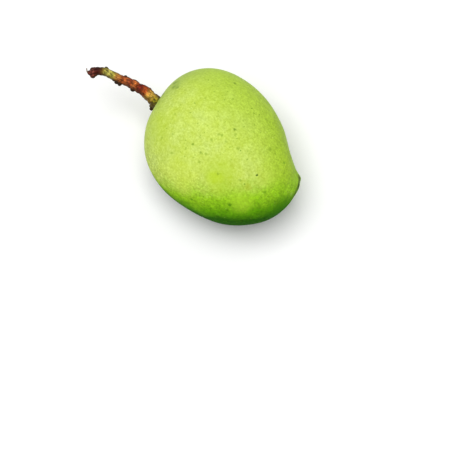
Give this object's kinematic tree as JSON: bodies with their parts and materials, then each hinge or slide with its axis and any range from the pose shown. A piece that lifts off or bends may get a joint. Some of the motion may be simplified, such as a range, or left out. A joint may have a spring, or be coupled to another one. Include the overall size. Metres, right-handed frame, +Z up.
{
  "type": "green mango",
  "caption": "Unripe green mango, a lopsided egg with a small blunt beak, lying on its broad side with a short knobbly woody stalk at its thick end.",
  "frame": {"origin": "middle of the small flat spot under the fruit's broad side, on the surface that it rests on", "axes": "+X along the fruit to its blossom end, +Y to the side of its beak, +Z up through its thickness; the stalk leaves towards -X"},
  "size_m": [0.1399, 0.0808, 0.0694],
  "materials": {
    "skin": "satin, thin natural wax, fine pale and dark dots",
    "stalk": "rough bark, golden to red-brown, dark at the broken end"
  },
  "bodies": {
    "root": {"fruit": "skin", "stalk": "stalk"}
  },
  "joints": []
}
